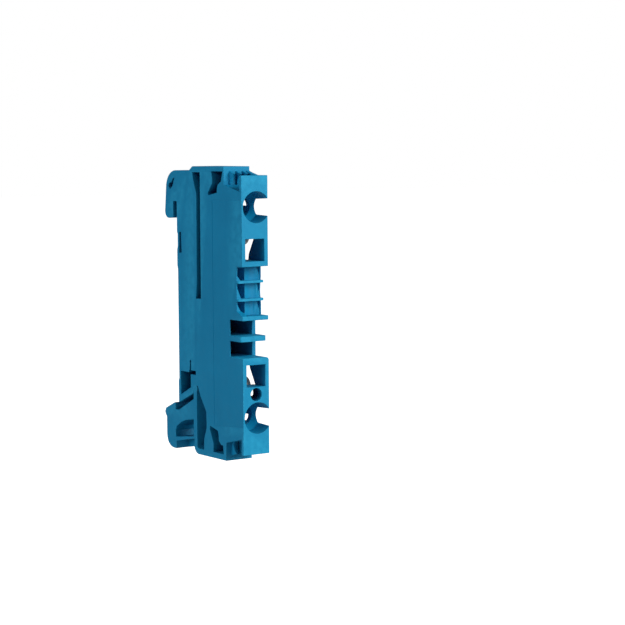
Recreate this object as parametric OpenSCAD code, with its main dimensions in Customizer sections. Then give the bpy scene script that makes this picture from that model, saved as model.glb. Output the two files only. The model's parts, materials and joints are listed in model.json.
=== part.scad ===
// Feed-through terminal block for a top-hat rail: front wire entry, two spring clamps, a sprung latch foot.
// X runs along the rail, Y from the wires towards the rail, Z up. The origin is the middle of the block's
// seat on the rail: half its thickness, the plane of the rail's flanges, and half way between their edges.

/* [Body] */
// Thickness along the rail, which is the pitch of a row of blocks
pitch = 5; // [5:0.1:6]
// Distance from the rail's flanges to the front face
depth = 20; // [20:0.5:24]
// Height of the top end above the rail's middle
top_end = 23.5; // [23.5:0.5:26]
// Distance of the bottom end below the rail's middle
bottom_end = 24.4; // [24.4:0.2:26]
// Height of the front block above the rail's middle
front_up = 22.1; // [21.6:0.1:22.4]
// Distance of the front block's foot below the rail's middle
front_down = 22.9; // [22.4:0.1:23.2]
// Thickness of the closed side wall
side_wall = 0.8; // [0.6:0.1:1]
// Thickness of the wall left beside the windows on the open side
thin_wall = 0.65; // [0.5:0.05:0.8]
// Distance from the front face to the spring chambers
front_wall = 5.55; // [5.35:0.05:5.9]
// Thickness of the spine between the rail and the chambers
spine = 8.2; // [8:0.1:8.4]
// Thickness of the thin rims that close both ends
rim = 1; // [0.8:0.05:1.1]
// Step back of both ends behind the front face
end_step = 5.2; // [5:0.1:5.5]

/* [Rail] */
// Width of the rail over its flanges
rail_width = 35; // [34.6:0.1:35.2]
// Thickness of the rail's flanges
rail_thick = 1; // [1:0.1:1.5]
// Clearance of a flange in the hook and in the latch
rail_gap = 0.12; // [0.05:0.01:0.2]
// How far the hook reaches behind the seat
hook_reach = 3.8; // [3.6:0.1:4.4]
// How much of the upper flange the hook covers
hook_grip = 2.75; // [2.25:0.05:3]
// How much of the lower flange the latch lip covers
latch_grip = 1; // [0.8:0.05:1.1]
// How far the latch foot reaches behind the seat
foot_reach = 4.6; // [4.2:0.1:4.8]

/* [Latch leaf] */
// Depth of the leaf's middle behind the seat
leaf_depth = 5.3; // [5.2:0.05:5.4]
// Thickness of the leaf that carries the foot
leaf_thick = 1; // [0.8:0.05:1.1]
// Depth of the leaf's root below the rail's middle
leaf_root = 13.4; // [13.2:0.1:13.6]
// Running clearance at the leaf's root
leaf_gap = 0.05; // [0.03:0.01:0.08]
// Clearance between the leaf's lower end and the bottom rim
leaf_end_gap = 0.08; // [0.06:0.01:0.15]
// Angle that the foot swings through to let go of the rail
foot_swing = 10.5; // [9:0.5:10.5]

/* [Wire entries] */
// Distance of both wire entries from the rail's middle
entry_pos = 17; // [16.8:0.1:17.2]
// Offset of the entries towards the open side
entry_shift = 0.35; // [0.2:0.05:0.4]
// Radius of the funnel at the front face
mouth_r = 2.55; // [2.5:0.01:2.6]
// Radius at the funnel's end, where it runs out of the open side
throat_r = 2.48; // [2.3:0.02:2.48]
// Radius of the round land at the funnel's end
land_r = 1.75; // [1.6:0.05:1.85]
// Length of the funnel from the front face to its shoulder
funnel_len = 3.4; // [3.2:0.1:3.6]
// Length of the shoulder between funnel and land
shoulder_len = 1.25; // [1.1:0.05:1.4]
// Length of the round land
land_len = 1; // [0.9:0.05:1.1]

/* [Screwdriver windows] */
// Distance of both windows from the rail's middle
window_pos = 10.13; // [10:0.01:10.25]
// Width of a window
window_width = 3.65; // [3.4:0.05:3.7]
// Height of a window
window_height = 3.6; // [3.4:0.05:3.7]
// Depth of the test hole below the rail's middle
test_pos = 13.15; // [13.1:0.05:13.3]
// Radius of the test hole
test_r = 1.05; // [0.9:0.05:1.05]
// Length of the test hole
test_len = 2.6; // [2.4:0.1:2.8]

/* [Current bar] */
// Thickness of the bar
bar_thick = 0.9; // [0.8:0.05:0.95]
// Width of the bar
bar_width = 3.2; // [2.8:0.1:3.2]
// Width of the bar's turned ends inside the cages
neck_width = 2.1; // [1.9:0.1:2.1]
// Step from the wire land down to the bar's contact face
contact_step = 0.3; // [0.2:0.05:0.4]
// Clearance between the bar's turned ends and the front wall
bar_end_gap = 1; // [0.8:0.1:1.4]

/* [Clamps] */
// Thickness of the spring strip
strip_thick = 0.4; // [0.3:0.05:0.4]
// Width of the spring strip
strip_width = 3.2; // [3:0.1:3.2]
// Radius of the big bend, to the middle of the strip
loop_r = 1.45; // [1.35:0.05:1.5]
// Radius of the small bend, to the middle of the strip
bend_r = 0.7; // [0.6:0.05:0.8]
// Width of the strips beside the cage's window
cage_side = 0.45; // [0.4:0.05:0.5]
// Height of the end bar that holds the wire
cage_end = 1; // [0.8:0.05:1.05]
// Gap between the cage and the bar's back
cage_gap = 0.2; // [0.15:0.05:0.3]
// Angle that the cage opens through
cage_open = 20.5; // [18:0.5:20.5]
// Gap between a closed cage and the bar's contact face
closed_gap = 0.02; // [0.01:0.01:0.05]
// Radius of the roll where the strip flexes
roll_r = 0.26; // [0.22:0.01:0.28]
// Clearance around the roll
roll_gap = 0.04; // [0.03:0.01:0.06]
// Room around the big bend in its pocket
loop_room = 0.5; // [0.3:0.05:0.55]

/* [Marker and jumper slots] */
// Height where the upper front block ends and the marker slot begins
marker_top = 7.5; // [7.3:0.1:7.7]
// Step back of the marker slot behind the front face
marker_step = 1.7; // [1.5:0.1:1.9]
// Depth of the marker slot's side pocket behind its edge
marker_depth = 3.3; // [3:0.1:3.5]
// Pitch of the marker ribs
marker_pitch = 2.9; // [2.7:0.1:3]
// Thickness of the marker ribs
marker_rib = 0.4; // [0.3:0.05:0.5]
// Step back of the jumper slots behind the front face
jumper_step = 3.85; // [3.7:0.05:4.1]
// Distance from the rail's middle down to the full rib above the jumper slots
jumper_top = 0.45; // [0.4:0.05:0.6]
// Thickness of the full rib above the jumper slots
full_rib = 0.7; // [0.6:0.05:0.8]
// Height of a jumper slot
jumper_height = 2.6; // [2.4:0.05:2.65]
// Thickness of the rib between the jumper slots
jumper_rib = 0.85; // [0.7:0.05:0.95]
// How far the rib between the jumper slots stands out of them
jumper_rib_out = 3.25; // [3:0.05:3.6]

/* [Hidden] */
$fn = 48;

EPS = 0.01;
blue = [0.08, 0.42, 0.60];
tinned = [0.80, 0.79, 0.76];
steel = [0.62, 0.63, 0.65];

// Planes across the thickness
x_closed = -pitch / 2;
x_open = pitch / 2;
x_inner = x_closed + side_wall;
x_thin = x_open - thin_wall;

// Planes in depth
y_front = -depth;
y_chamber = y_front + front_wall;
y_spine = -spine;
y_end = y_front + end_step;
y_marker = y_front + marker_step;
y_jumper = y_front + jumper_step;
y_leaf = -leaf_depth;

// Heights of the rail's flange edges
flange_up = rail_width / 2;
flange_down = -rail_width / 2;

// Bar and clamps, as depth and distance from the rail's middle
v_contact = entry_pos - land_r - contact_step;
v_bar = v_contact - bar_thick;
v_leg = v_bar - strip_thick / 2;
v_loop = v_leg - loop_r;
v_inner = v_loop - loop_r;
y_bar = y_spine - bar_thick;
y_cage = y_bar - cage_gap - strip_thick / 2;
y_roll = y_chamber - loop_r;
// The cage's window starts far enough inwards to clear the leg on the bar when the cage is open
v_window = v_loop + (v_leg - strip_thick / 2 - 0.12 - v_loop
    - (y_cage + strip_thick / 2 - y_roll) * sin(cage_open)) / cos(cage_open);
v_tip = v_contact + closed_gap + cage_end;

function arc(c, r, a0, a1, n) = [for (i = [0:n])
    let (a = a0 + (a1 - a0) * i / n) [c.x + r * cos(a), c.y + r * sin(a)]];

// A side outline, drawn as depth and height, made solid from x0 to x1
module side(x0, x1) translate([x0, 0, 0]) rotate([90, 0, 90]) linear_extrude(x1 - x0) children();

// A box from its low corner to its high corner
module span(low, high) translate(low) cube(high - low);

// A round hole along the depth, from y0 to y1
module bore_y(x, z, r, y0, y1) translate([x, y1, z]) rotate([90, 0, 0]) cylinder(r = r, h = y1 - y0);

// ---- housing ----

z_rim = -bottom_end + rim;
nose = flange_up - hook_grip;
hook_top = top_end - 0.7;
hook_r = 3;
nose_r = 1.2;
corner_r = 1.5;
slot_w = rail_thick + rail_gap;
relief = 0.2;
skin = 0.4;
bar_room = 0.06;
core_floor = 1;
spine_wall = 0.75;
core_wall = 0.8;
y_face_wall = -0.75;
y_core = -4.6;
x_window = x_thin - window_width;
v_low = window_pos - window_height / 2 - 0.3;
v_far = entry_pos + 1.3;
y_land = y_front + funnel_len + shoulder_len + land_len;
// Radius of the roll at the leaf's root
root_r = leaf_thick / 2 + 0.06;

// The rigid upper hook, which hangs behind the upper flange
function hook_points() = concat(
    [[0, flange_up + rail_gap], [slot_w, flange_up + rail_gap], [slot_w, nose + 0.1]],
    arc([hook_reach - nose_r, nose + nose_r], nose_r, -90, 0, 5),
    arc([hook_reach - 0.4 - hook_r, hook_top - hook_r], hook_r, 0, 90, 8),
    [[-4, hook_top], [-5.1, top_end]]);

// The face towards the rail, with shallow reliefs between its pads, from the bottom up
function rail_face_points() = [
    [0, flange_down + 1.15], [0, flange_down + 5], [-relief, flange_down + 5.3], [-relief, 6.2],
    [0, 6.9], [0, 9.5], [-relief, 10.2], [-relief, flange_up - 5.3], [0, flange_up - 5]];

// One end of the body, with the cove where it steps down to the front block
function end_points(end, block) = [[y_end, end], [y_end, block + 0.7], [y_end - 0.3, block + 0.58],
    [y_end - 1, block + 0.38], [y_end - 1.9, block + 0.18], [y_end - 2.6, block]];

// The same points for the bottom end, in the opposite order
function flip(points) = [for (i = [len(points) - 1:-1:0]) [points[i].x, -points[i].y]];

// A point of the foot after it has swung fully about the leaf's root
function swung(p) = let (d = p - [y_leaf, -leaf_root])
    [y_leaf, -leaf_root] + [d.x * cos(foot_swing) + d.y * sin(foot_swing),
        d.y * cos(foot_swing) - d.x * sin(foot_swing)];

// The foot's lower edge, from the leaf outwards
foot_edge = [[y_leaf + leaf_thick / 2, z_rim + leaf_end_gap], [1, -bottom_end + 0.1]];

// Height of the bottom rim's end at y, just clear of the swung foot
function rim_end(y) = let (a = swung(foot_edge[0]), b = swung(foot_edge[1]))
    a.y - leaf_end_gap + (y - a.x) * (b.y - a.y) / (b.x - a.x);

// The rounded end of the bottom rim, sloped to clear the swung foot
function rim_end_points() = let (
    c = [y_leaf + leaf_thick / 2 - corner_r, -bottom_end + corner_r],
    y_tip = c.x + corner_r * 0.55,
    y_flat = y_tip + (z_rim - rim_end(y_tip)) / (rim_end(y_tip + 1) - rim_end(y_tip)))
    concat(arc(c, corner_r, -90, -acos(0.55), 4), [[y_tip, rim_end(y_tip)], [y_flat, z_rim]]);

// The wedge beside the leaf, which leaves it room to swing, and the leaf's root
function bay_points() = [
    [y_leaf - 2.6, z_rim], [y_leaf - 2.65, -leaf_root - 8.2], [y_leaf - 3.45, -leaf_root - 6.3],
    [y_leaf - 3.4, -leaf_root - 3.6], [y_leaf - 2.75, -leaf_root - 2.7],
    [y_leaf - 1.55, -leaf_root - 1.05], [y_leaf - root_r - 0.25, -leaf_root + 0.45],
    [y_leaf - 0.25, -leaf_root + 0.45], [y_leaf, -leaf_root],
    [y_leaf + root_r, -leaf_root], [y_leaf + root_r, -leaf_root - 0.9]];

module body_outline() {
    difference() {
        polygon(concat(
            hook_points(), end_points(top_end, front_up),
            [[y_front, front_up], [y_front, -front_down]], flip(end_points(bottom_end, front_down)),
            rim_end_points(), bay_points(),
            rail_face_points()));
        translate([y_leaf, -leaf_root]) circle(r = root_r + leaf_gap);
    }
}

// Slots that make both ends a little elastic: a tall one behind the spine and one at each end
module end_slots() {
    z_top = top_end - rim;
    z_end = z_top + 0.2;
    slot_foot = 1.65;
    translate([y_spine + spine_wall, 0]) polygon([[0, z_top], [0.05, slot_foot], [1.65, slot_foot],
        [1.3, slot_foot + 2.6], [1.15, z_top - 3.6], [1.9, z_top - 1.8], [2.4, z_top]]);
    // The end slots fill the width between the end step and the spine
    translate([y_end, 0]) scale([y_spine - 1.6 - y_end, 1]) {
        polygon([[0.76, z_end], [0.08, z_end], [0.18, z_end - 1.6], [0.36, z_end - 2.1],
            [0.42, v_far + 1.7], [0.44, v_far + 0.95], [0.96, v_far + 0.5], [0.98, v_far + 0.9],
            [0.72, z_end - 2], [0.71, z_end - 1]]);
        polygon([[1, -v_far - 0.95], [0.92, -v_far - 0.95], [0.52, -v_far - 1.45],
            [0.47, -v_far - 2.3], [0.46, z_rim + 2.05], [0.33, z_rim + 1.45], [0.2, z_rim + 1.4],
            [0.17, z_rim], [0.8, z_rim], [0.79, z_rim + 1.4], [0.88, z_rim + 2.4],
            [1, z_rim + 3.6]]);
    }
}

// Blind pocket with a T-shaped end above the latch, set out from the leaf's root
module latch_pocket() {
    translate([y_leaf, -leaf_root]) polygon([[y_face_wall - y_leaf, 2.5], [1.9, 2.5], [1.9, 2.9],
        [1.65, 2.9], [1.65, 4.6], [1.25, 4.6], [1.25, 2.9], [-0.3, 2.9], [-0.3, 2.2], [1.4, 2.2],
        [1.4, 0], [y_face_wall - y_leaf, -1.45]]);
}

// Room for one clamp and the wire's end, drawn for the upper half
module chamber_outline() {
    polygon([[y_spine, v_low], [y_spine, v_contact + 0.65], [y_spine - 1.3, v_contact + 1.65],
        [y_spine - 1.3, v_far - 0.7], [y_spine - 2.4, v_far], [y_land, v_far],
        [y_land, v_contact + 0.1], [y_chamber, v_contact + 0.1], [y_chamber, v_low]]);
    translate([y_chamber, v_loop]) circle(r = loop_r + strip_thick / 2 + loop_room);
}

module both_halves() {
    children();
    mirror([0, 1]) children();
}

module chambers() {
    side(x_inner, x_open - skin) both_halves() chamber_outline();
    // The outer skin keeps a tongue beside the wire
    side(x_open - skin - EPS, x_open + EPS) both_halves() difference() {
        chamber_outline();
        translate([y_land - EPS, v_contact + 0.1]) square([1.6, entry_pos - v_contact]);
    }
    // Beside the windows the chambers reach further forward, up to the outer skin's edge
    side(x_thin - 0.05, x_open + EPS) both_halves() polygon([[y_chamber + EPS, v_low],
        [y_chamber - 0.65, v_low], [y_chamber - 0.85, v_low + 1.2], [y_chamber - 2.5, v_loop - 0.35],
        [y_chamber - 2.1, v_loop + 0.3], [y_chamber + EPS, v_loop + 0.3]]);
    // Channel for the bar between the chambers
    side(-bar_width / 2 - 0.05, x_open + EPS)
        translate([y_bar - bar_room, -v_low - EPS])
            square([y_spine - y_bar + bar_room, 2 * (v_low + EPS)]);
}

// Wire funnel, its shoulder and its round land
module funnel(z) {
    translate([entry_shift, y_front, z]) rotate([-90, 0, 0]) {
        translate([0, 0, -EPS]) cylinder(r1 = mouth_r, r2 = throat_r, h = funnel_len + EPS);
        translate([0, 0, funnel_len - EPS])
            cylinder(r1 = throat_r, r2 = land_r, h = shoulder_len + 2 * EPS);
        translate([0, 0, funnel_len + shoulder_len]) cylinder(r = land_r, h = land_len + EPS);
    }
}

module window(z) {
    span([x_window, y_front - EPS, z - window_height / 2],
        [x_thin, y_chamber + EPS, z + window_height / 2]);
}

module test_hole() {
    x_middle = x_thin - window_width / 2;
    bore_y(x_middle, -test_pos, test_r, y_front - EPS, y_front + test_len);
    span([x_inner, y_front + test_len, -v_leg], [x_thin, y_chamber, -test_pos + test_r - 0.2]);
}

z_marker = -jumper_top;
z_jumper = -jumper_top - full_rib;
z_jumper_mid = z_jumper - jumper_height - jumper_rib / 2;
z_jumper_end = z_jumper - 2 * jumper_height - jumper_rib;
y_pillar = y_marker + 0.7;
x_pillar = -0.5;
pillar_w = 2.8;
cell_wall = 0.2;
block_corner = 0.5;

// Height of the middle of marker rib i, counted from the full rib
function rib_z(i) = z_marker - full_rib / 2 + i * marker_pitch;

// A front outline, drawn as x and height, made solid from y0 to y1
module frontal(y0, y1) translate([0, y1, 0]) rotate([90, 0, 0]) linear_extrude(y1 - y0) children();

// Marker slot: a pillar between a deep pocket and a thin edge on the open side
module marker_slot() {
    z_middle = (marker_top + z_marker) / 2;
    bow = 0.6;
    bow_r = (pow(marker_top - z_middle, 2) + bow * bow) / (2 * bow);
    side(x_closed - 1, x_open + 1) polygon([[y_front - 1, marker_top], [y_marker, marker_top],
        [y_marker, z_marker + 0.8], [y_front + 0.1, z_marker], [y_front - 1, z_marker]]);
    // Each marker's cell is wider at its top
    x_wide = x_closed + cell_wall;
    x_narrow = x_closed + cell_wall + 0.8;
    frontal(y_marker - 1, y_marker + marker_depth) polygon([
        [x_pillar, z_marker + 0.4], [x_pillar, marker_top - 0.2], [x_wide, marker_top - 0.2],
        [x_wide, rib_z(2) + 1], [x_narrow, rib_z(2)], [x_wide, rib_z(2)],
        [x_wide, rib_z(1) + 1.9], [x_narrow, rib_z(1)], [x_wide, rib_z(1)],
        [x_wide, z_marker + 1.8], [x_narrow, z_marker + 0.4]]);
    span([x_pillar - EPS, y_marker - 1, z_marker], [x_pillar + pillar_w, y_pillar, marker_top]);
    translate([x_pillar + pillar_w / 2, y_pillar - 2, z_marker])
        cylinder(r = 2.35, h = marker_top - z_marker);
    for (i = [0:2]) frontal(y_marker - EPS, y_pillar + 0.4) polygon([
        [x_pillar + pillar_w - 0.4, rib_z(i + 1) - marker_rib / 2 - EPS],
        [x_pillar + pillar_w, rib_z(i) + 0.9],
        [x_pillar + pillar_w + 0.08, rib_z(i + 1) - marker_rib / 2 - EPS]]);
    // The thin edge on the open side is bowed inwards
    intersection() {
        translate([x_open - 1, y_marker + bow - bow_r, z_middle]) rotate([0, 90, 0])
            cylinder(r = bow_r, h = 1 + EPS);
        span([x_open - 1, y_marker - 1, z_marker], [x_open + EPS, y_marker + 1, marker_top]);
    }
}

module jumper_slots() {
    span([x_closed - 1, y_front - 1, z_jumper_end], [x_open + 1, y_jumper, z_jumper]);
    for (z = [z_jumper, z_jumper_mid - jumper_rib / 2])
        span([x_closed + cell_wall, y_jumper - EPS, z - jumper_height], [x_thin, y_bar, z]);
    // The lower front block's top corner is rounded on the open side
    frontal(y_front - 1, y_jumper) translate([x_open - block_corner, z_jumper_end - block_corner])
        difference() {
            square(block_corner + EPS);
            circle(r = block_corner);
        }
}

// A shelf across the block with rounded front corners
module shelf(z, thick, y_out, y_in, r) {
    translate([0, 0, z - thick / 2]) linear_extrude(thick) polygon(concat([[x_closed, y_in]],
        arc([x_closed + r, y_out + r], r, 180, 270, 5),
        arc([x_open - r, y_out + r], r, -90, 0, 5), [[x_open, y_in]]));
}

// Recess behind the front block at one end, with a round scoop through its ribs
module end_pocket(end, block) {
    x_ribs = [-1.25, 0, 1.25];
    rib = 0.4;
    rib_out = 0.5;
    scoop_r = 2;
    front_skin = 0.6;
    scoop = [y_end - rib_out - scoop_r, block - 1.4];
    outline = [[y_end, block - 1.5], [y_end, end + 1], [y_front + front_skin, end + 1],
        [y_front + front_skin, block - 2.6]];
    difference() {
        side(x_closed - EPS, x_open - thin_wall) polygon(outline);
        for (x = x_ribs) side(x - rib / 2, x + rib / 2) difference() {
            translate([scoop.x, entry_pos]) square([scoop_r + rib_out + EPS, end - entry_pos]);
            translate(scoop) circle(r = scoop_r);
            translate([scoop.x - EPS, entry_pos - EPS])
                square([scoop_r + EPS, scoop.y - entry_pos + EPS]);
        }
        // The funnel keeps a wall of its own
        bore_y(entry_shift, entry_pos, mouth_r + 0.4, y_front - 1, y_end + 1);
    }
}

// Pockets that keep the walls even, open on the same side as the chambers
module cores(y0, y1, z0, z1, count) {
    step = (z1 - z0 + core_wall) / count;
    for (i = [0:count - 1]) span([x_closed + core_floor, y0, z0 + i * step],
        [x_open + EPS, y1, z0 + (i + 1) * step - core_wall]);
}

module housing() {
    color(blue) difference() {
        union() {
            difference() {
                side(x_closed, x_open) body_outline();
                side(x_closed - EPS, x_open + EPS) end_slots();
                side(x_closed - EPS, x_open - core_floor) latch_pocket();
                chambers();
                for (s = [-1, 1]) {
                    funnel(s * entry_pos);
                    window(s * window_pos);
                }
                test_hole();
                marker_slot();
                jumper_slots();
                end_pocket(top_end, front_up);
                mirror([0, 0, 1]) end_pocket(bottom_end, front_down);
                cores(y_core, y_face_wall, 2.6, top_end - 2.2, 5);
                cores(y_core + core_wall, y_face_wall, -8, 1, 2);
                cores(y_spine + spine_wall, y_core, -8, 1, 2);
                cores(y_marker + marker_depth + core_wall, y_bar - 1.2, 0.7, marker_top - 0.3, 2);
            }
            for (i = [1, 2])
                shelf(rib_z(i), marker_rib, y_marker - 0.55, y_marker + marker_depth, 0.4);
            shelf(z_jumper_mid, jumper_rib, y_jumper - jumper_rib_out, y_jumper + EPS, 0.45);
            bar_seats();
        }
        side_marks();
    }
}

// Shallow steps and grooves on the closed side
module side_marks() {
    panel = 0.03;
    groove = 0.8;
    y_panel = y_end + 3.6;
    side(x_closed - EPS, x_closed + panel) polygon([[y_panel, v_far - 0.2],
        [y_front - EPS, v_far - 0.2], [y_front - EPS, -v_far - 0.1], [y_panel, -v_far - 0.6]]);
    side(x_closed - EPS, x_closed + groove) {
        translate([0, hook_top]) polygon([[0.6, -1.2], [1, -1.9], [1.1, -2.4], [1.55, -2.8],
            [2.1, -3.2], [2.6, -2.65], [2.45, -2.2], [1.7, -2], [1.25, -1.45]]);
        polygon([[-0.7, 12.5], [-1.3, 12.5], [-1.4, 9.1], [-0.65, 9]]);
    }
}

// Pads under the bar and small overhangs that keep it in
module bar_seats() {
    for (z = [-12, -3.2, 3.2, 12])
        span([x_inner - EPS, y_bar, z - 0.6], [-bar_width / 2, y_spine + EPS, z + 0.6]);
    for (z = [-5, 5])
        translate([0, 0, z - 1]) linear_extrude(2) polygon([
            [bar_width / 2 + closed_gap, y_spine + EPS], [bar_width / 2 + closed_gap, y_spine - 0.4],
            [bar_width / 2 + 0.7, y_spine + EPS]]);
}

// ---- latch foot ----

lip = flange_down + latch_grip;
ledge = flange_down - rail_gap;
foot_r = 2.2;
rebate = 2.4;

function foot_points() = concat(
    [[y_leaf - leaf_thick / 2, -leaf_root], [y_leaf + leaf_thick / 2, -leaf_root],
        [y_leaf + leaf_thick / 2, -leaf_root - 1.85], [0.1, ledge], [slot_w, ledge], [slot_w, lip],
        [slot_w + 0.25, lip + 0.05], [foot_reach - 0.3, lip - 1.2], [foot_reach, lip - 1.8],
        [foot_reach - 0.1, lip - 2.1], [foot_reach - 0.55, lip - 2.7]],
    arc([foot_reach - 0.55 - foot_r, -bottom_end + foot_r + 0.1], foot_r, 0, -80, 6),
    [foot_edge[1], foot_edge[0], foot_edge[0] - [leaf_thick, 0]]);

module latch_foot() {
    color(blue) difference() {
        union() {
            side(x_closed, x_open) polygon(foot_points());
            side(x_closed, x_open) translate([y_leaf, -leaf_root]) circle(r = root_r);
        }
        // Window for the blade that pulls the foot back
        side(x_closed - EPS, x_open + EPS) translate([y_leaf + leaf_thick / 2, ledge])
            scale([1, ledge + bottom_end]) polygon([[0.1, -0.165], [2.6, -0.22], [4.2, -0.3],
                [5.6, -0.42], [5.98, -0.53], [5.85, -0.69], [0.1, -0.585]]);
        // Rebate along the lower edge
        side(x_closed - EPS, x_closed + rebate) translate([0, -bottom_end]) polygon([
            [0.9, 1.4], [-4.9, 2.5], [-4.9, -1], [0.9, -1]]);
    }
}

// ---- current bar ----

module current_bar() {
    jumper_hole = [1.9, 1.3];
    color(tinned) difference() {
        union() {
            side(-bar_width / 2, bar_width / 2) difference() {
                translate([y_bar, -v_contact]) square([bar_thick, 2 * v_contact]);
                for (s = [-1, 1]) translate([y_spine, s * v_contact]) rotate(45)
                    square([0.5, 0.5], center = true);
            }
            for (s = [-1, 1]) side(-neck_width / 2, neck_width / 2)
                translate([y_chamber + bar_end_gap, s > 0 ? v_bar : -v_contact])
                    square([y_bar - y_chamber - bar_end_gap + EPS, bar_thick]);
        }
        // Holes that take the jumpers' tips
        for (z = [z_jumper - jumper_height / 2, z_jumper_end + jumper_height / 2])
            span([-jumper_hole.x / 2, y_bar - 1, z - jumper_hole.y / 2],
                [jumper_hole.x / 2, y_spine + 1, z + jumper_hole.y / 2]);
    }
}

// ---- cage clamps, drawn for the upper one ----

module ring_quarter(c, r, quadrant) {
    intersection() {
        translate(c) difference() {
            circle(r = r + strip_thick / 2);
            circle(r = r - strip_thick / 2);
        }
        translate(c) mirror([quadrant.x < 0 ? 1 : 0, 0]) mirror([0, quadrant.y < 0 ? 1 : 0])
            square(2 * r);
    }
}

// The half of the big bend and the leg that stay on the bar
module clamp_spring() {
    y_narrow = y_cage - 1.9;
    color(steel) {
        side(-strip_width / 2, strip_width / 2) {
            difference() {
                ring_quarter([y_chamber, v_loop], loop_r, [-1, 1]);
                translate([y_roll, v_loop]) circle(r = roll_r + roll_gap);
            }
            translate([y_chamber - EPS, v_bar - strip_thick])
                square([y_narrow - y_chamber + EPS, strip_thick]);
        }
        side(-neck_width / 2, neck_width / 2) translate([y_narrow - EPS, v_bar - strip_thick])
            square([y_bar - 0.05 - y_narrow + EPS, strip_thick]);
    }
}

// The half of the big bend that moves, and the leg with the window that grips the wire
module clamp_cage() {
    y_turn = y_cage - bend_r;
    v_turn = v_inner + bend_r;
    color(steel) difference() {
        side(-strip_width / 2, strip_width / 2) {
            translate([y_roll, v_loop]) circle(r = roll_r);
            ring_quarter([y_chamber, v_loop], loop_r, [-1, -1]);
            translate([y_chamber - EPS, v_inner - strip_thick / 2])
                square([y_turn - y_chamber + 2 * EPS, strip_thick]);
            ring_quarter([y_turn, v_turn], bend_r, [1, -1]);
            translate([y_cage - strip_thick / 2, v_turn - EPS])
                square([strip_thick, v_tip - v_turn + EPS]);
        }
        span([-strip_width / 2 + cage_side, y_turn - 0.1, v_window],
            [strip_width / 2 - cage_side, y_cage + strip_thick, v_contact + closed_gap]);
    }
}

module upper_clamp_spring() clamp_spring();
module upper_clamp_cage() clamp_cage();
module lower_clamp_spring() mirror([0, 0, 1]) clamp_spring();
module lower_clamp_cage() mirror([0, 0, 1]) clamp_cage();

housing();
latch_foot();
current_bar();
upper_clamp_spring();
upper_clamp_cage();
lower_clamp_spring();
lower_clamp_cage();
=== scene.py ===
# %% [markdown]
# # A rail-mounted terminal block, dressed in Blender
# The block is a slim blue moulding that clips on a 35 mm rail and joins two wires. Its solids come
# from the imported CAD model, in metres and in the row frame: X along the rail, -Y towards the
# wires, Z up. This lesson loads them, sets the camera and the light, makes the three finishes, and
# then dresses one piece after another. The CAD nodes themselves are never moved or changed.

# %% Load the frame
import json
import math

import bmesh
import bpy
from mathutils import Matrix, Vector, kdtree
from mathutils.bvhtree import BVHTree


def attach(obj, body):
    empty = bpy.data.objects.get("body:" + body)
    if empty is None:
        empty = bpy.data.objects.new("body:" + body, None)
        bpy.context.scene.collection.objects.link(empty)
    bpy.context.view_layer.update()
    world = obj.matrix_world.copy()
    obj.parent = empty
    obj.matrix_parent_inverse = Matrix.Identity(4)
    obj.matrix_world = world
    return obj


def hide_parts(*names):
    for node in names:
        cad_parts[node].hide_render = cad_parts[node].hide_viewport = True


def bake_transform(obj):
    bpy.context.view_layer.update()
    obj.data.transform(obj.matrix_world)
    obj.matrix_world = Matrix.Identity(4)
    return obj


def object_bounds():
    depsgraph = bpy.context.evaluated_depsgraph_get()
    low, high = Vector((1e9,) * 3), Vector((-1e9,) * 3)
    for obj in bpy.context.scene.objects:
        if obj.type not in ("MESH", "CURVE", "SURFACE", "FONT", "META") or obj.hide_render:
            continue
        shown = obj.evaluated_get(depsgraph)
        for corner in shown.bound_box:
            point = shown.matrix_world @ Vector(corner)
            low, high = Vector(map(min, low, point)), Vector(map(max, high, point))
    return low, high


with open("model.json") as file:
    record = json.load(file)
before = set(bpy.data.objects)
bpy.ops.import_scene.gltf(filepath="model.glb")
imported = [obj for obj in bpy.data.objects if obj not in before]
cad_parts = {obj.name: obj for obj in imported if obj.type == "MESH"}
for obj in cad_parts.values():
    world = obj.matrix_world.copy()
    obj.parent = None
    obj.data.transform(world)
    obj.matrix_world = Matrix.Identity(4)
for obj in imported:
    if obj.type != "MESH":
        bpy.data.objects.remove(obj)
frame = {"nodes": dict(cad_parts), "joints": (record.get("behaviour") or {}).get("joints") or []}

MM = 0.001
cad_box = [list(corner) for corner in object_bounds()]
for cad_name, cad_node in frame["nodes"].items():
    print(cad_name, "has", len(cad_node.data.polygons), "triangles")
print("CAD box in mm:", [[round(v / MM, 2) for v in corner] for corner in cad_box])

# %% [markdown]
# ## The camera
# A long lens a good 30 cm away looks at the closed side and the front face. From so far, lines that
# are parallel on the block stay nearly parallel. Angles could place the camera too, but two
# directions, where it looks and what lies to its right, leave nothing to guess. A small shift then
# frames the block without turning the camera.

# %% Camera
CAMERA_PLACE = Vector((-167.68, -275.14, 26.95)) * MM
CAMERA_RIGHT = Vector((0.81881, -0.57403, -0.00624))
CAMERA_LOOK = Vector((0.57156, 0.81620, -0.08440))
CAMERA_LENS, CAMERA_SENSOR = 109.93, 36.0
CAMERA_SHIFT = (0.0016, -0.0102)
CAMERA_CLIP = (0.01, 20.0)


def make_camera():
    data = bpy.data.cameras.new("camera")
    data.lens, data.sensor_width = CAMERA_LENS, CAMERA_SENSOR
    data.shift_x, data.shift_y = CAMERA_SHIFT
    data.clip_start, data.clip_end = CAMERA_CLIP
    camera = bpy.data.objects.new("camera", data)
    bpy.context.scene.collection.objects.link(camera)
    look = CAMERA_LOOK.normalized()
    right = (CAMERA_RIGHT - look * CAMERA_RIGHT.dot(look)).normalized()
    up = right.cross(look)
    camera.matrix_world = Matrix.Translation(CAMERA_PLACE) @ Matrix(
        (right, up, -look)).transposed().to_4x4()
    bpy.context.scene.camera = camera
    return camera


camera = make_camera()
print("camera at", [round(v, 4) for v in camera.location])

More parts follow.
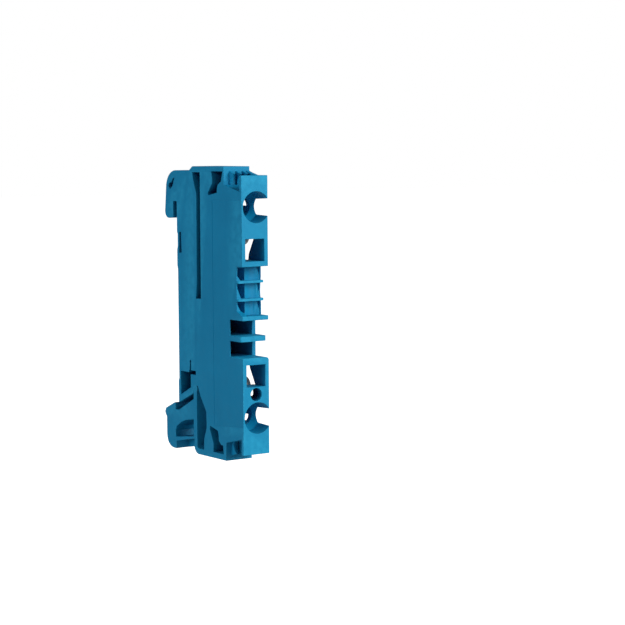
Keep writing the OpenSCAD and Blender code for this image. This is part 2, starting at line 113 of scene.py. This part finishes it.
# %% [markdown]
# ## Lamps
# A product is lit by large soft lamps, so its shadows have no hard edge. The stronger lamp stands
# in front, above and a little to the right, and is slightly warm. The weaker one fills the closed
# side, which stays darker than the front face. A lamp's power is worked out from the light that it
# should give on a white card, so moving it away doesn't change the picture.

# %% Key and fill lamp
LAMP_DISTANCE = 0.8
LAMPS = {
    # name: (direction from the block, side in m, level on a white card, colour)
    "key_lamp": ((0.30, -0.86, 0.42), 0.50, 1.11, (1.0, 1.0, 0.91)),
    "fill_lamp": ((-1.00, 0.00, 0.30), 0.60, 0.46, (1.0, 1.0, 1.0)),
}


def make_lamp(name, direction, side, level, colour):
    data = bpy.data.lights.new(name, "AREA")
    data.shape, data.size, data.color = "SQUARE", side, colour
    data.energy = level * math.pi ** 2 * LAMP_DISTANCE ** 2
    lamp = bpy.data.objects.new(name, data)
    bpy.context.scene.collection.objects.link(lamp)
    way = Vector(direction).normalized()
    lamp.location = way * LAMP_DISTANCE
    lamp.rotation_mode = "QUATERNION"
    lamp.rotation_quaternion = way.to_track_quat("Z", "Y")
    print(name, "gives", round(data.energy, 2), "W")


for lamp_name, settings in LAMPS.items():
    make_lamp(lamp_name, *settings)

# %% [markdown]
# ## A white background
# A world that is bright enough to look white would also flood the block with light. The Light Path
# node separates the two: rays that the camera sees get plain white, and all other rays get a weak
# even light that only lifts the shadows.

# %% World
WORLD_LEVEL = 0.14
WORLD_TINT = (0.97, 0.985, 1.0, 1)
WHITE = (1, 1, 1, 1)


def is_seen(nodes, links):
    """1 for the rays that should see plain white: camera and transmission."""
    path = nodes.new("ShaderNodeLightPath")
    either = nodes.new("ShaderNodeMath")
    either.operation = "MAXIMUM"
    links.new(path.outputs["Is Camera Ray"], either.inputs[0])
    links.new(path.outputs["Is Transmission Ray"], either.inputs[1])
    return either.outputs[0]


def make_world():
    world = bpy.data.worlds.new("studio")
    world.use_nodes = True
    nodes, links = world.node_tree.nodes, world.node_tree.links
    nodes.clear()
    light = nodes.new("ShaderNodeBackground")
    light.inputs["Color"].default_value = WORLD_TINT
    light.inputs["Strength"].default_value = WORLD_LEVEL
    white = nodes.new("ShaderNodeBackground")
    white.inputs["Color"].default_value = WHITE
    mix = nodes.new("ShaderNodeMixShader")
    links.new(is_seen(nodes, links), mix.inputs[0])
    links.new(light.outputs[0], mix.inputs[1])
    links.new(white.outputs[0], mix.inputs[2])
    out = nodes.new("ShaderNodeOutputWorld")
    links.new(mix.outputs[0], out.inputs[0])
    bpy.context.scene.world = world


make_world()
bpy.context.scene.view_settings.view_transform = "Standard"
print("world level:", WORLD_LEVEL)

# %% [markdown]
# ## The floor
# The block hangs on its rail, so the floor lies a little below it and takes no clear shadow. It is
# matt and pale, and throws some light up at the undersides. Where the camera sees it, it glows
# white by the same rule as the world, so no line shows where it ends.

# %% Floor
FLOOR_DROP = 16 * MM
FLOOR_SIDE = 4.0
FLOOR_GREY = (0.55, 0.55, 0.55, 1)


def make_floor(z):
    mesh = bpy.data.meshes.new("floor")
    h = FLOOR_SIDE / 2
    mesh.from_pydata([(-h, -h, z), (h, -h, z), (h, h, z), (-h, h, z)], [], [(0, 1, 2, 3)])
    floor = bpy.data.objects.new("floor", mesh)
    bpy.context.scene.collection.objects.link(floor)
    material = bpy.data.materials.new("pale_floor")
    material.use_nodes = True
    nodes, links = material.node_tree.nodes, material.node_tree.links
    nodes.clear()
    matt = nodes.new("ShaderNodeBsdfDiffuse")
    matt.inputs["Color"].default_value = FLOOR_GREY
    glow = nodes.new("ShaderNodeEmission")
    links.new(is_seen(nodes, links), glow.inputs["Strength"])
    glow.inputs["Color"].default_value = WHITE
    both = nodes.new("ShaderNodeAddShader")
    links.new(matt.outputs[0], both.inputs[0])
    links.new(glow.outputs[0], both.inputs[1])
    out = nodes.new("ShaderNodeOutputMaterial")
    links.new(both.outputs[0], out.inputs[0])
    mesh.materials.append(material)


floor_height = cad_box[0][2] - FLOOR_DROP
make_floor(floor_height)
print("floor at", round(floor_height / MM, 1), "mm")

# %% [markdown]
# ## Materials
# Real finishes are never one flat colour. Each one here is a small node graph on Object
# coordinates: a base colour that drifts a little, roughness that varies, and bump at the scale of
# the real surface. Painted textures would do as well, but a graph needs no unwrapping and stays
# sharp at any distance. The class below gives the nodes short names, so each finish reads as a few
# lines. A noise scale of 1000 makes patches of about 1 mm, as coordinates are in metres.


# %% Node helpers
class Graph:
    """Short names for building a node graph."""

    def __init__(self, name):
        self.material = bpy.data.materials.new(name)
        self.material.use_nodes = True
        self.nodes = self.material.node_tree.nodes
        self.links = self.material.node_tree.links
        self.nodes.clear()
        self.shader = self.nodes.new("ShaderNodeBsdfPrincipled")
        out = self.nodes.new("ShaderNodeOutputMaterial")
        self.links.new(self.shader.outputs[0], out.inputs[0])
        self.place = self.nodes.new("ShaderNodeTexCoord").outputs["Object"]

    def put(self, socket, value):
        if isinstance(value, bpy.types.NodeSocket):
            self.links.new(value, socket)
        else:
            socket.default_value = value

    def stretched(self, scale):
        node = self.nodes.new("ShaderNodeMapping")
        self.links.new(self.place, node.inputs["Vector"])
        node.inputs["Scale"].default_value = scale
        return node.outputs[0]

    def noise(self, scale, detail=2.0, rough=0.5, vector=None):
        node = self.nodes.new("ShaderNodeTexNoise")
        self.links.new(vector or self.place, node.inputs["Vector"])
        node.inputs["Scale"].default_value = scale
        node.inputs["Detail"].default_value = detail
        node.inputs["Roughness"].default_value = rough
        return node.outputs["Fac"]

    def ranged(self, value, low, high, to_low=0.0, to_high=1.0):
        node = self.nodes.new("ShaderNodeMapRange")
        self.links.new(value, node.inputs["Value"])
        for name, number in (("From Min", low), ("From Max", high), ("To Min", to_low),
                             ("To Max", to_high)):
            node.inputs[name].default_value = number
        return node.outputs["Result"]

    def maths(self, operation, a, b):
        node = self.nodes.new("ShaderNodeMath")
        node.operation = operation
        self.put(node.inputs[0], a)
        self.put(node.inputs[1], b)
        return node.outputs[0]

    def mixed(self, factor, a, b):
        node = self.nodes.new("ShaderNodeMix")
        node.data_type = "RGBA"
        self.put(node.inputs["Factor"], factor)
        self.put(node.inputs["A"], a)
        self.put(node.inputs["B"], b)
        return node.outputs["Result"]

    def edges(self, low, high):
        """0 on flat faces, up to 1 on convex edges."""
        geometry = self.nodes.new("ShaderNodeNewGeometry")
        return self.ranged(geometry.outputs["Pointiness"], low, high)

    def openness(self, reach):
        """Near 0 deep in a slot, 1 in the open."""
        node = self.nodes.new("ShaderNodeAmbientOcclusion")
        node.samples = 8
        node.inputs["Distance"].default_value = reach
        return node.outputs["AO"]

    def between(self, axis, low, high, soft):
        """1 between two planes of the block, falling to 0 over `soft`."""
        parts = self.nodes.new("ShaderNodeSeparateXYZ")
        self.links.new(self.place, parts.inputs[0])
        rise = self.ranged(parts.outputs[axis], low - soft, low)
        fall = self.ranged(parts.outputs[axis], high, high + soft, 1.0, 0.0)
        return self.maths("MULTIPLY", rise, fall)

    def bump(self, height, distance, strength, normal=None):
        node = self.nodes.new("ShaderNodeBump")
        node.inputs["Distance"].default_value = distance
        node.inputs["Strength"].default_value = strength
        self.links.new(height, node.inputs["Height"])
        if normal is not None:
            self.links.new(normal, node.inputs["Normal"])
        return node.outputs[0]


# %% [markdown]
# ### Blue polyamide
# Both mouldings are of one blue nylon, with a fine matt grain from the mould. Its colour drifts by
# a few shades where the melt flowed. Convex edges are paler: partly wear from handling, and partly
# a painted highlight. Deep slots look almost black. Path tracing alone leaves them too pale, so the
# ambient occlusion node, which feels how open a place is, mixes in a darker blue as painted shade.
# The marker cells stay a brighter blue, most likely because light comes through the thin wall
# beside them, and a band in the material paints that light in by lifting their painted shade.

# %% Blue finish
BLUE = (0.0040, 0.232, 0.462, 1)
BLUE_DEEP = (0.0030, 0.206, 0.420, 1)
# Paler blue on convex edges: partly wear, partly a painted highlight.
BLUE_WORN_AND_HIGHLIT = (0.015, 0.310, 0.560, 1)
# Darker blue painted into deep slots as shade.
BLUE_PAINTED_SHADE = (0.0010, 0.014, 0.095, 1)
# Brighter blue painted into the marker cells as light, most likely coming through their thin wall.
BLUE_CELLS_PAINTED_LIGHT = (0.020, 0.280, 0.520, 1)
SHADE_REACH = 4 * MM
CELLS_BOTTOM, CELLS_TOP, CELLS_DEPTH = -0.4 * MM, 7.5 * MM, 6.5 * MM
GRAIN, WAVES = 0.0035 * MM, 0.03 * MM


# The marker cells get painted light in place of the painted shade.
def cells_painted_light_mask(g):
    """1 in the marker cells behind the front face, where a brighter blue is painted in as light."""
    front = cad_box[0][1]
    return g.maths("MULTIPLY", g.between("Z", CELLS_BOTTOM, CELLS_TOP, 0.1 * MM),
                   g.between("Y", front, front + CELLS_DEPTH, 0.5 * MM))


def blue_polyamide():
    g = Graph("blue_polyamide")
    drift = g.ranged(g.noise(140, 3, 0.55), 0.35, 0.65)
    flow = g.ranged(g.noise(90, 4, 0.6, g.stretched((1.0, 6.0, 1.2))), 0.4, 0.62, 0.0, 0.35)
    body = g.mixed(flow, g.mixed(drift, BLUE_DEEP, BLUE), BLUE)
    patchy = g.ranged(g.noise(900), 0.35, 0.65)
    # Convex edges turn paler in patches: partly wear, partly a painted highlight.
    worn_and_highlit = g.maths("MULTIPLY", g.edges(0.52, 0.60), g.ranged(patchy, 0, 1, 0.25, 0.8))
    # Painted shade: where the ambient occlusion finds a place closed in, the blue turns darker.
    open_sky = g.ranged(g.openness(SHADE_REACH), 0.14, 0.40)
    # In the marker cells the painted shade is lifted to a brighter blue, as painted light.
    shade = g.mixed(cells_painted_light_mask(g), BLUE_PAINTED_SHADE, BLUE_CELLS_PAINTED_LIGHT)
    body = g.mixed(open_sky, shade, g.mixed(worn_and_highlit, body, BLUE_WORN_AND_HIGHLIT))
    g.put(g.shader.inputs["Base Color"], body)
    g.put(g.shader.inputs["Roughness"], g.ranged(g.noise(420, 3, 0.6), 0.3, 0.7, 0.42, 0.56))
    fine = g.bump(g.noise(9000, 2, 0.6), GRAIN, 0.6)
    g.put(g.shader.inputs["Normal"], g.bump(g.noise(260), WAVES, 0.35, fine))
    g.shader.inputs["Specular IOR Level"].default_value = 0.16
    return g.material


blue = blue_polyamide()
print("made", blue.name, "with", len(blue.node_tree.nodes), "nodes")

# %% [markdown]
# ### Tinned copper
# The current bar is copper with a thin coat of tin, so a wire makes good contact. Tin is a soft
# grey metal with fine marks along the way it was rolled, and copper shows through at worn edges.
# A noise that is squeezed six times across the block gives those marks.

# %% Tinned finish
TIN_DULL = (0.66, 0.655, 0.635, 1)
TIN_BRIGHT = (0.76, 0.755, 0.74, 1)
COPPER = (0.80, 0.62, 0.48, 1)
ROLLED = 0.004 * MM


def tinned_copper():
    g = Graph("tinned_copper")
    drift = g.ranged(g.noise(350, 3, 0.6), 0.35, 0.65)
    worn = g.maths("MULTIPLY", g.edges(0.52, 0.62), 0.5)
    g.put(g.shader.inputs["Base Color"],
          g.mixed(worn, g.mixed(drift, TIN_DULL, TIN_BRIGHT), COPPER))
    g.shader.inputs["Metallic"].default_value = 1.0
    g.put(g.shader.inputs["Roughness"], g.ranged(g.noise(700, 3, 0.6), 0.3, 0.7, 0.28, 0.42))
    marks = g.noise(1500, vector=g.stretched((6.0, 1.0, 1.0)))
    g.put(g.shader.inputs["Normal"], g.bump(marks, ROLLED, 0.5))
    return g.material


tinned = tinned_copper()
print("made", tinned.name, "with", len(tinned.node_tree.nodes), "nodes")

# %% [markdown]
# ### Spring steel
# The clamps are bright strip steel with a satin face. A mirror finish could be tried, but inside a
# loop it only shows speckles of dark blue, and rolled strip is duller than that in any case.

# %% Steel finish
STEEL_DARK = (0.50, 0.505, 0.52, 1)
STEEL_LIGHT = (0.62, 0.625, 0.635, 1)
SATIN = 0.001 * MM


def spring_steel():
    g = Graph("spring_steel")
    drift = g.ranged(g.noise(300, 3, 0.6), 0.35, 0.65)
    g.put(g.shader.inputs["Base Color"], g.mixed(drift, STEEL_DARK, STEEL_LIGHT))
    g.shader.inputs["Metallic"].default_value = 1.0
    g.put(g.shader.inputs["Roughness"], g.ranged(g.noise(600, 3, 0.6), 0.3, 0.7, 0.38, 0.46))
    marks = g.noise(4000, vector=g.stretched((0.15, 1.0, 1.0)))
    g.put(g.shader.inputs["Normal"], g.bump(marks, SATIN, 0.4))
    return g.material


steel = spring_steel()
print("made", steel.name, "with", len(steel.node_tree.nodes), "nodes")

# %% [markdown]
# ## The two mouldings
# The housing and the latch foot are one blue plastic, and the CAD model already holds every wall,
# slot and pocket of them. Building them again would only add errors, so each CAD mesh is copied.
# The copy is made of loose triangles: merging its doubles closes it, and dissolving the flat edges
# gives back the large faces, which a bevel needs.

# %% Copy and clean a CAD mesh
MERGE = 0.0005 * MM
FLAT_ANGLE = math.radians(0.4)


def clean_copy(node, name):
    mesh = frame["nodes"][node].data.copy()
    mesh.name = name
    bm = bmesh.new()
    bm.from_mesh(mesh)
    bmesh.ops.remove_doubles(bm, verts=bm.verts, dist=MERGE)
    bmesh.ops.dissolve_limit(bm, angle_limit=FLAT_ANGLE, verts=bm.verts, edges=bm.edges)
    bm.to_mesh(mesh)
    bm.free()
    mesh.materials.clear()
    obj = bpy.data.objects.new(name, mesh)
    bpy.context.scene.collection.objects.link(obj)
    print(name, "has", len(mesh.polygons), "faces after cleaning")
    return obj


# %% [markdown]
# ### Soft edges
# No edge of a real moulding is sharp: the mould leaves a tiny radius everywhere, and the radius
# catches a line of light. One Bevel modifier could round them all, but at one width it would fold
# over in the thin ribs. So each sharp edge first gets a weight from the room beside it.

# %% Room beside an edge
SHARP_ANGLE = math.radians(28)
SIDEWAYS = 0.3       # a neighbour counts if this share of it points away from the edge
BEVEL_SHARE = 0.42   # the share of the room that a bevel may take


def sharp_edges(bm):
    return [e for e in bm.edges
            if len(e.link_faces) == 2 and e.calc_face_angle(0.0) > SHARP_ANGLE]


def room_beside(edge):
    """The shortest of the edge and of what its neighbours reach out sideways."""
    along = (edge.verts[1].co - edge.verts[0].co).normalized()
    room = edge.calc_length()
    for vert in edge.verts:
        for other in vert.link_edges:
            if other is not edge:
                side = other.other_vert(vert).co - vert.co
                across = (side - along * side.dot(along)).length
                if across > side.length * SIDEWAYS:
                    room = min(room, across)
    return room


# %% [markdown]
# ### Bevel, compare and try again
# Even so, a few corners where many edges meet can fold over. After each try the new mesh is held
# against the old surface. Where a triangle has left it or turned over, the edges nearby lose their
# bevel, and the next try starts from there.

# %% Bevel and compare
STRAY = 0.6          # how far a corner may leave the old surface, as a share of the width
FACING = 0.2         # a triangle has turned over if its normal agrees less than this
SPECK = 1e-11        # smaller triangles than this, in square metres, may face any way


def bevelled(obj, mesh, width, segments):
    """The mesh with its weighted edges bevelled, as a new mesh."""
    obj.data = mesh
    bevel = obj.modifiers.new("soft_edges", "BEVEL")
    bevel.width, bevel.segments = width, segments
    bevel.limit_method, bevel.use_clamp_overlap = "WEIGHT", False
    bevel.harden_normals = True
    result = bpy.data.meshes.new_from_object(
        obj.evaluated_get(bpy.context.evaluated_depsgraph_get()))
    obj.modifiers.clear()
    return result


def gone_astray(mesh, tree, limit):
    """Corners of the triangles that left the old surface or turned over."""
    mesh.calc_loop_triangles()
    astray = []
    for triangle in mesh.loop_triangles:
        corners = [mesh.vertices[i].co for i in triangle.vertices]
        centre = (corners[0] + corners[1] + corners[2]) / 3
        _, normal, _, far = tree.find_nearest(centre)
        if far > limit or (triangle.area > SPECK and far < limit / 10
                           and normal.dot(triangle.normal) < FACING):
            astray.extend(corners)
    return astray


def drop_bevels_near(spots, edges, weight, width, reach):
    """Takes the bevel from every edge that passes within reach of a spot."""
    near = kdtree.KDTree(len(spots))
    for number, spot in enumerate(spots):
        near.insert(spot, number)
    near.balance()
    for edge in edges:
        start, end = [v.co for v in edge.verts]
        steps = max(2, int(edge.calc_length() / width))
        if edge[weight] and any(near.find(start.lerp(end, k / steps))[2] < reach
                                for k in range(steps + 1)):
            edge[weight] = 0.0


# %% Soften a piece
def soften(obj, width, segments=2, tries=8):
    mesh = obj.data
    bm = bmesh.new()
    bm.from_mesh(mesh)
    tree = BVHTree.FromBMesh(bm)
    weight = bm.edges.layers.float.new("bevel_weight_edge")
    for face in bm.faces:
        face.smooth = True
    edges = sharp_edges(bm)
    for edge in edges:
        edge.smooth = False
        edge[weight] = max(0.0, min(1.0, BEVEL_SHARE * room_beside(edge) / width))
    for attempt in range(tries):
        bm.to_mesh(mesh)
        result = bevelled(obj, mesh, width, segments)
        astray = gone_astray(result, tree, width * STRAY)
        if not astray:
            break
        drop_bevels_near(astray, edges, weight, width, width * (1.5 + attempt))
    kept = sum(1 for e in edges if e[weight] > 0)
    bm.free()
    obj.data = result
    print(obj.name, "softened:", kept, "of", len(edges), "sharp edges in", attempt + 1, "tries;",
          len(result.polygons), "faces,", len(astray), "corners astray")


# %% Housing and latch foot
MOULDED_EDGE = 0.07 * MM
for node, body in (("housing", "block"), ("latch_foot", "foot")):
    piece = clean_copy(node, node + "_moulding")
    soften(piece, MOULDED_EDGE)
    piece.data.materials.append(blue)
    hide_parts(node)
    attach(piece, body)

# %% [markdown]
# ## The two ends of the leaf
# The latch foot hangs on a leaf of the same plastic, which bends where the CAD model has a joint.
# The joint needs a running gap at the leaf's root. A plain roll on the joint's axis closes it, as a
# roll looks the same at every angle. The leaf's lower end runs round a soft corner into the bottom
# rim. Each is an outline drawn across the block. Cylinders from Blender's menu could do for the
# roll, but only an outline gives the corner its two radii.

# %% Outlines across the block
def turn(centre, radius, start, end, steps):
    """Points of an arc in y and z, from one angle to the other."""
    angles = [math.radians(start + (end - start) * k / steps) for k in range(steps + 1)]
    return [(centre[0] + radius * math.cos(a), centre[1] + radius * math.sin(a))
            for a in angles]


def finished(obj):
    """Turn the faces outwards, smooth them between sharp edges and show the piece."""
    bm = bmesh.new()
    bm.from_mesh(obj.data)
    bmesh.ops.recalc_face_normals(bm, faces=bm.faces)
    for face in bm.faces:
        face.smooth = True
    for edge in sharp_edges(bm):
        edge.smooth = False
    bm.to_mesh(obj.data)
    bm.free()
    bpy.context.scene.collection.objects.link(obj)
    print(obj.name, "has", len(obj.data.polygons), "faces")
    return obj


def prism(name, outline, half_width, material):
    count = len(outline)
    verts = [(x * MM, y * MM, z * MM) for x in (-half_width, half_width) for y, z in outline]
    faces = [tuple(range(count)), tuple(range(count, 2 * count))]
    faces += [(i, (i + 1) % count, (i + 1) % count + count, i + count) for i in range(count)]
    mesh = bpy.data.meshes.new(name)
    mesh.from_pydata(verts, [], faces)
    mesh.materials.append(material)
    return finished(bpy.data.objects.new(name, mesh))


# %% Leaf root
ROOT_R, ROOT_HALF = 0.66, 2.504   # a hair wider than the block, so no two faces share a plane


def joint_place(name):
    """Where a joint's axis crosses the middle of the block, in y and z, in mm."""
    joint = next(joint for joint in frame["joints"] if joint["name"] == name)
    return [v / MM for v in joint["pos_m"][1:]]


root = prism("leaf_root", turn(joint_place("foot_latch"), ROOT_R, 0, 345, 23), ROOT_HALF, blue)
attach(root, "block")

# %% Leaf corner
OUTER_R, INNER_R, CORNER_HALF = 1.49, 0.42, 2.49   # a hair narrower than the block
OUTER_CENTRE = (-6.3, -22.9)
LEAF_FACE, RIM_TOP = -5.81, -23.39

outer = turn(OUTER_CENTRE, OUTER_R, 8, -96, 16)
inner = turn((LEAF_FACE - INNER_R, RIM_TOP + INNER_R), INNER_R, -100, 10, 8)
corner = prism("leaf_corner", outer + inner, CORNER_HALF, blue)
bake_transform(corner)

# %% [markdown]
# ## The bar
# The current bar is punched from thick tinned copper, so its edges are only just broken. It gets
# the same care as the mouldings, with a smaller radius.

# %% Current bar
PUNCHED_EDGE = 0.05 * MM
bar = clean_copy("current_bar", "bar_strip")
soften(bar, PUNCHED_EDGE)
bar.data.materials.append(tinned)
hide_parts("current_bar")
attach(bar, "block")

# %% [markdown]
# ## The clamps
# Each clamp is one strip of spring steel, bent to a loop. A strip is a flat outline that follows a
# path. It could be extruded and bent by hand, but then every change means bending it again.
# Geometry Nodes keep the path as a few corners: Fillet Curve rounds each one by the radius written
# on its point, and Curve to Mesh sweeps an outline with rolled edges along it. The class below
# gives the nodes of such a tree short names.


# %% Geometry Nodes helpers
class Tree:
    """Short names for building a geometry node group with named inputs."""

    def __init__(self, name, inputs):
        self.group = bpy.data.node_groups.new(name, "GeometryNodeTree")
        sockets = self.group.interface
        sockets.new_socket("Geometry", in_out="OUTPUT", socket_type="NodeSocketGeometry")
        sockets.new_socket("Geometry", in_out="INPUT", socket_type="NodeSocketGeometry")
        self.keys = {label: sockets.new_socket(label, in_out="INPUT", socket_type=kind).identifier
                     for label, kind in inputs.items()}
        self.given = self.group.nodes.new("NodeGroupInput").outputs

    def node(self, kind, inputs, **settings):
        """A new node with its inputs linked or set; returns its outputs."""
        made = self.group.nodes.new(kind)
        for setting, value in settings.items():
            setattr(made, setting, value)
        for key, value in inputs.items():
            if isinstance(value, bpy.types.NodeSocket):
                self.group.links.new(value, made.inputs[key])
            else:
                made.inputs[key].default_value = value
        return made.outputs

    def written(self, attribute):
        """A number that is stored on the points of the path."""
        return self.node("GeometryNodeInputNamedAttribute", {"Name": attribute},
                         data_type="FLOAT")["Attribute"]

    def close(self, geometry):
        """Make every instance real, set the finish and hand the result out."""
        real = self.node("GeometryNodeRealizeInstances", {"Geometry": geometry})[0]
        dressed = self.node("GeometryNodeSetMaterial",
                            {"Geometry": real, "Material": self.given["Finish"]})[0]
        self.group.links.new(dressed, self.group.nodes.new("NodeGroupOutput").inputs[0])


# %% [markdown]
# ### One tree, with or without a window
# The clamp is made in two lengths that meet in the straight lower leg: the real loop flexes when
# the clamp opens, and the grip swings as one with its cage. The grip has a window for the wire,
# which a block cuts out of the strip. A number on each point narrows the loop's free end to a neck.

# %% A strip that follows a path
STRIP = {"Width": 3.2 * MM, "Thickness": 0.4 * MM, "Edge Radius": 0.09 * MM}
WINDOW = {"Window Size": Vector((2.3, 1.4, 3.83)) * MM,
          "Window Place": Vector((0, -9.7, 13.055)) * MM}


def swept(tree):
    """The outline with rolled edges, swept along the path and narrowed where it says so."""
    given = tree.given
    path = tree.node("GeometryNodeMeshToCurve", {"Mesh": given["Geometry"]})[0]
    path = tree.node("GeometryNodeFilletCurve",
                     {"Curve": path, "Count": given["Steps"], "Radius": tree.written("bend"),
                      "Limit Radius": True}, mode="POLY")[0]
    flat = tree.node("GeometryNodeCurvePrimitiveQuadrilateral",
                     {"Width": given["Width"], "Height": given["Thickness"]})[0]
    flat = tree.node("GeometryNodeFilletCurve",
                     {"Curve": flat, "Count": 2, "Radius": given["Edge Radius"]}, mode="POLY")[0]
    strip = tree.node("GeometryNodeCurveToMesh",
                      {"Curve": path, "Profile Curve": flat, "Fill Caps": True})[0]
    across = tree.node("ShaderNodeCombineXYZ", {"X": tree.written("waist"), "Y": 1.0, "Z": 1.0})[0]
    place = tree.node("GeometryNodeInputPosition", {})[0]
    narrowed = tree.node("ShaderNodeVectorMath", {0: place, 1: across}, operation="MULTIPLY")[0]
    return tree.node("GeometryNodeSetPosition", {"Geometry": strip, "Position": narrowed})[0]


def windowed(tree, strip):
    """The strip with a block cut out of it."""
    block = tree.node("GeometryNodeMeshCube", {"Size": tree.given["Window Size"]})[0]
    block = tree.node("GeometryNodeTransform",
                      {"Geometry": block, "Translation": tree.given["Window Place"]})[0]
    return tree.node("GeometryNodeMeshBoolean", {"Mesh 1": strip, "Mesh 2": block},
                     operation="DIFFERENCE", solver="EXACT")[0]


def strip_tree(name, with_window):
    inputs = {label: "NodeSocketFloat" for label in STRIP}
    inputs.update({"Steps": "NodeSocketInt", "Finish": "NodeSocketMaterial"})
    if with_window:
        inputs.update({label: "NodeSocketVector" for label in WINDOW})
    tree = Tree(name, inputs)
    strip = swept(tree)
    tree.close(windowed(tree, strip) if with_window else strip)
    print(name, "takes", ", ".join(tree.keys))
    return tree


loop_tree = strip_tree("bent_strip", False)
grip_tree = strip_tree("bent_strip_with_window", True)

# %% [markdown]
# ### From corners to a mesh
# The path is a mesh of a few points, with the bend radius and the share of the width written on
# each. The modifier's inputs are set by their identifiers, and the evaluated result becomes a plain
# mesh, so the piece can be bent between two bodies afterwards.

# %% Sweep a strip along its corners
def strip_along(name, tree, corners, sizes):
    """corners are (y, z, bend radius, share of the width), in mm."""
    mesh = bpy.data.meshes.new(name)
    mesh.from_pydata([(0, y * MM, z * MM) for y, z, _, _ in corners],
                     [(i, i + 1) for i in range(len(corners) - 1)], [])
    for place, attribute, unit in ((2, "bend", MM), (3, "waist", 1.0)):
        layer = mesh.attributes.new(attribute, "FLOAT", "POINT")
        layer.data.foreach_set("value", [corner[place] * unit for corner in corners])
    obj = bpy.data.objects.new(name, mesh)
    bpy.context.scene.collection.objects.link(obj)
    modifier = obj.modifiers.new("strip", "NODES")
    modifier.node_group = tree.group
    for label, value in sizes.items():
        modifier[tree.keys[label]] = tuple(value) if isinstance(value, Vector) else value
    made = bpy.data.meshes.new_from_object(
        obj.evaluated_get(bpy.context.evaluated_depsgraph_get()))
    bpy.data.objects.remove(obj)
    return finished(bpy.data.objects.new(name, made))


# %% The clamp's path
BEND, GRIP_BEND = 1.45, 0.7     # radii to the middle of the strip, in mm
NECK = 2.1 / 3.2                # the neck's share of the strip's width
FREE_END, NECK_END = -9.15, -11.38
LEG_SPLIT = -10.6
GRIP_FACE, GRIP_TOP = -9.5, 15.97
back, middle = joint_place("upper_clamp")
top_leg, low_leg = middle + BEND, middle - BEND

LOOP_PATH = [(FREE_END, top_leg, 0, NECK), (NECK_END, top_leg, 0, NECK),
             (NECK_END - 0.04, top_leg, 0, 1), (back, top_leg, BEND, 1), (back, low_leg, BEND, 1),
             (LEG_SPLIT, low_leg, 0, 1)]
GRIP_PATH = [(LEG_SPLIT, low_leg, 0, 1), (GRIP_FACE, low_leg, GRIP_BEND, 1),
             (GRIP_FACE, GRIP_TOP, 0, 1)]
print("bend between", round(low_leg, 2), "and", round(top_leg, 2), "mm")

for side, up in (("upper", 1), ("lower", -1)):
    sizes = dict(STRIP, Steps=12, Finish=steel)
    loop = strip_along(side + "_loop", loop_tree,
                       [(y, up * z, bend, share) for y, z, bend, share in LOOP_PATH], sizes)
    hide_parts(side + "_clamp_spring")
    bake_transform(loop)
    x, y, z = WINDOW["Window Place"]
    sizes.update(WINDOW, **{"Window Place": Vector((x, y, up * z))})
    grip = strip_along(side + "_grip", grip_tree,
                       [(y, up * z, bend, share) for y, z, bend, share in GRIP_PATH], sizes)
    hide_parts(side + "_clamp_cage")
    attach(grip, side + "_cage")
